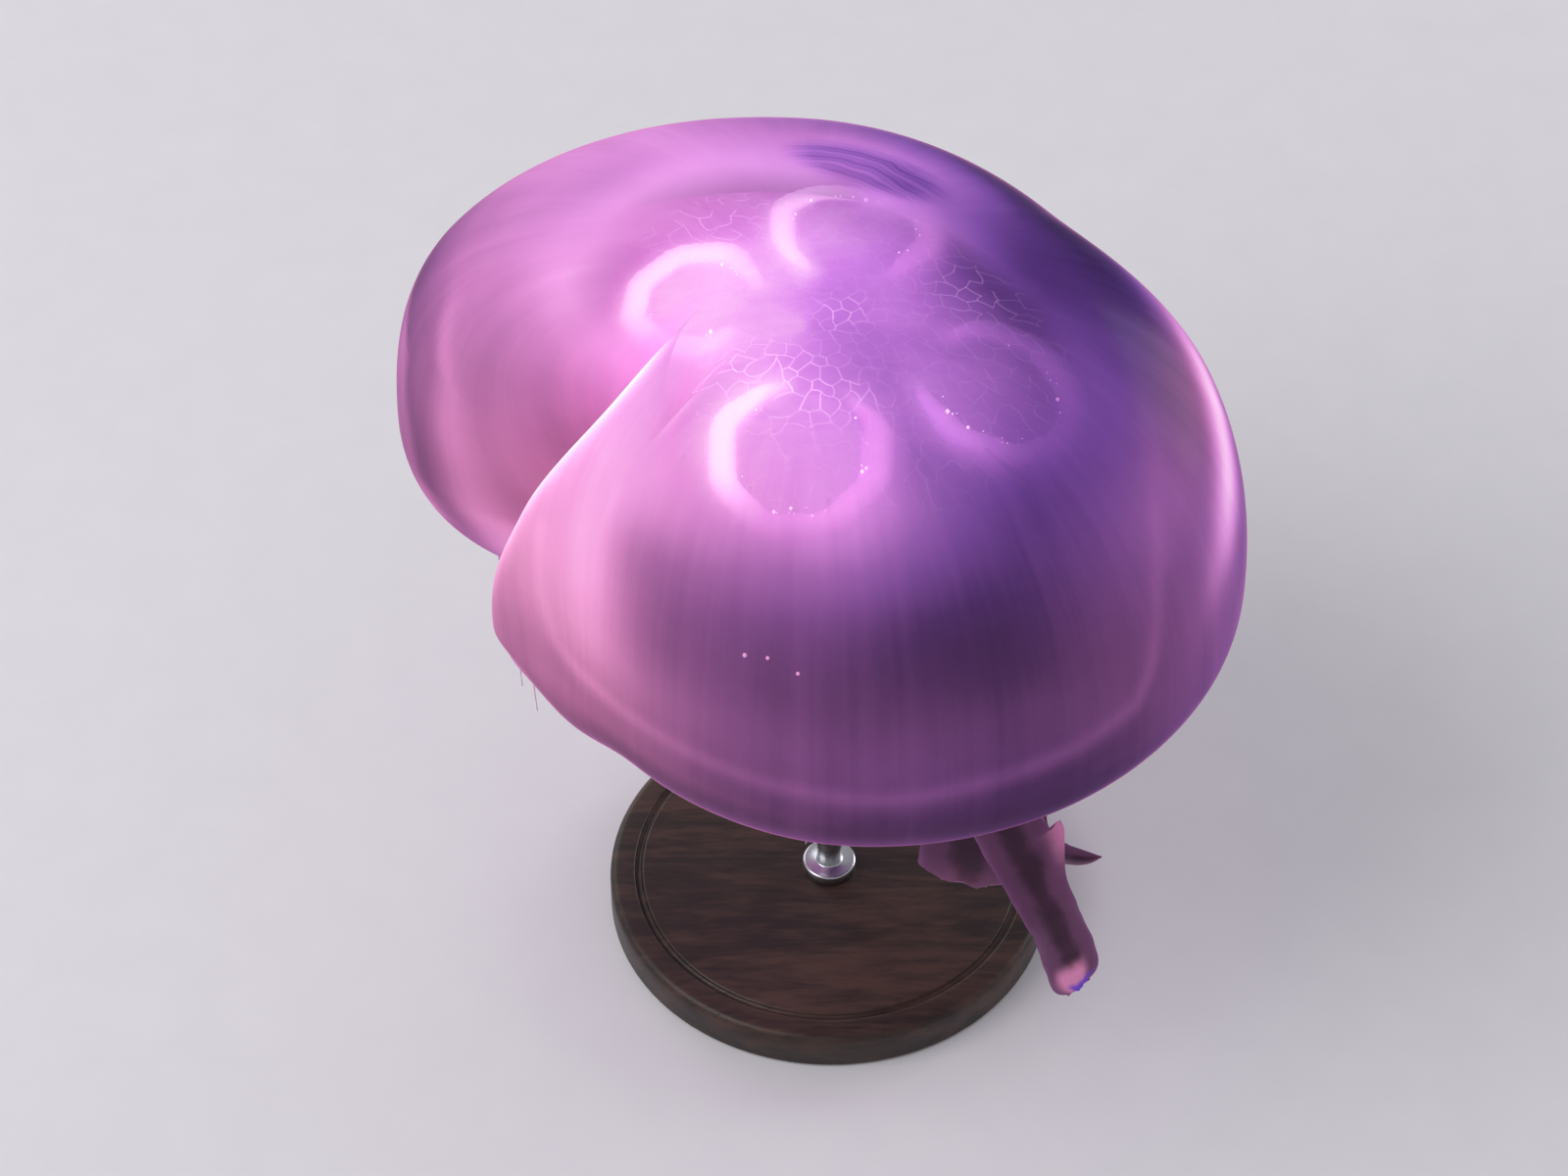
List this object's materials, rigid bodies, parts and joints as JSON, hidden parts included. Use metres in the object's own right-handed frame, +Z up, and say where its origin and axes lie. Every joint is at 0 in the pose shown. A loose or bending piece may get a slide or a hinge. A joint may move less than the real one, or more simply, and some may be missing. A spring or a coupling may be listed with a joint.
{
  "type": "jellyfish display model",
  "caption": "Life-size moon jelly with a squeezed, folded bell, ring-shaped gonads, streaming oral arms and a fringe of tentacles, held up by a plain round stand.",
  "frame": {"origin": "centre of the underside of the stand's round base, straight below the animal's mouth", "axes": "+Z up; +X to the right and -Y to the front, where the long oral arm streams out; the deep fold in the bell is on the left, towards -X"},
  "size_m": [0.2213, 0.2027, 0.2426],
  "materials": {
    "bell_gel": "wet, clear pink-violet jelly",
    "gonads": "pale pink, satin",
    "mouth": "wet violet flesh",
    "oral_arms": "wet violet flesh with paler edges",
    "tentacles": "pale threads",
    "base_wood": "dark stained, satin",
    "rod_steel": "brushed"
  },
  "bodies": {
    "root": {"bell_crown": "bell_gel", "bell_lobe_1": "bell_gel", "bell_lobe_2": "bell_gel", "bell_lobe_3": "bell_gel", "bell_lobe_4": "bell_gel", "bell_lobe_5": "bell_gel", "bell_lobe_6": "bell_gel", "bell_lobe_7": "bell_gel", "bell_lobe_8": "bell_gel", "gonad_1": "gonads", "gonad_2": "gonads", "gonad_3": "gonads", "gonad_4": "gonads", "mouth": "mouth", "oral_arm_1_lower": "oral_arms", "oral_arm_1_upper": "oral_arms", "oral_arm_2_lower": "oral_arms", "oral_arm_2_upper": "oral_arms", "oral_arm_3_lower": "oral_arms", "oral_arm_3_upper": "oral_arms", "oral_arm_4_lower": "oral_arms", "oral_arm_4_upper": "oral_arms", "stand_base": "base_wood", "stand_rod": "rod_steel", "tentacle_fringe_1": "tentacles", "tentacle_fringe_2": "tentacles", "tentacle_fringe_3": "tentacles", "tentacle_fringe_4": "tentacles", "tentacle_fringe_5": "tentacles", "tentacle_fringe_6": "tentacles", "tentacle_fringe_7": "tentacles", "tentacle_fringe_8": "tentacles"}
  },
  "joints": []
}
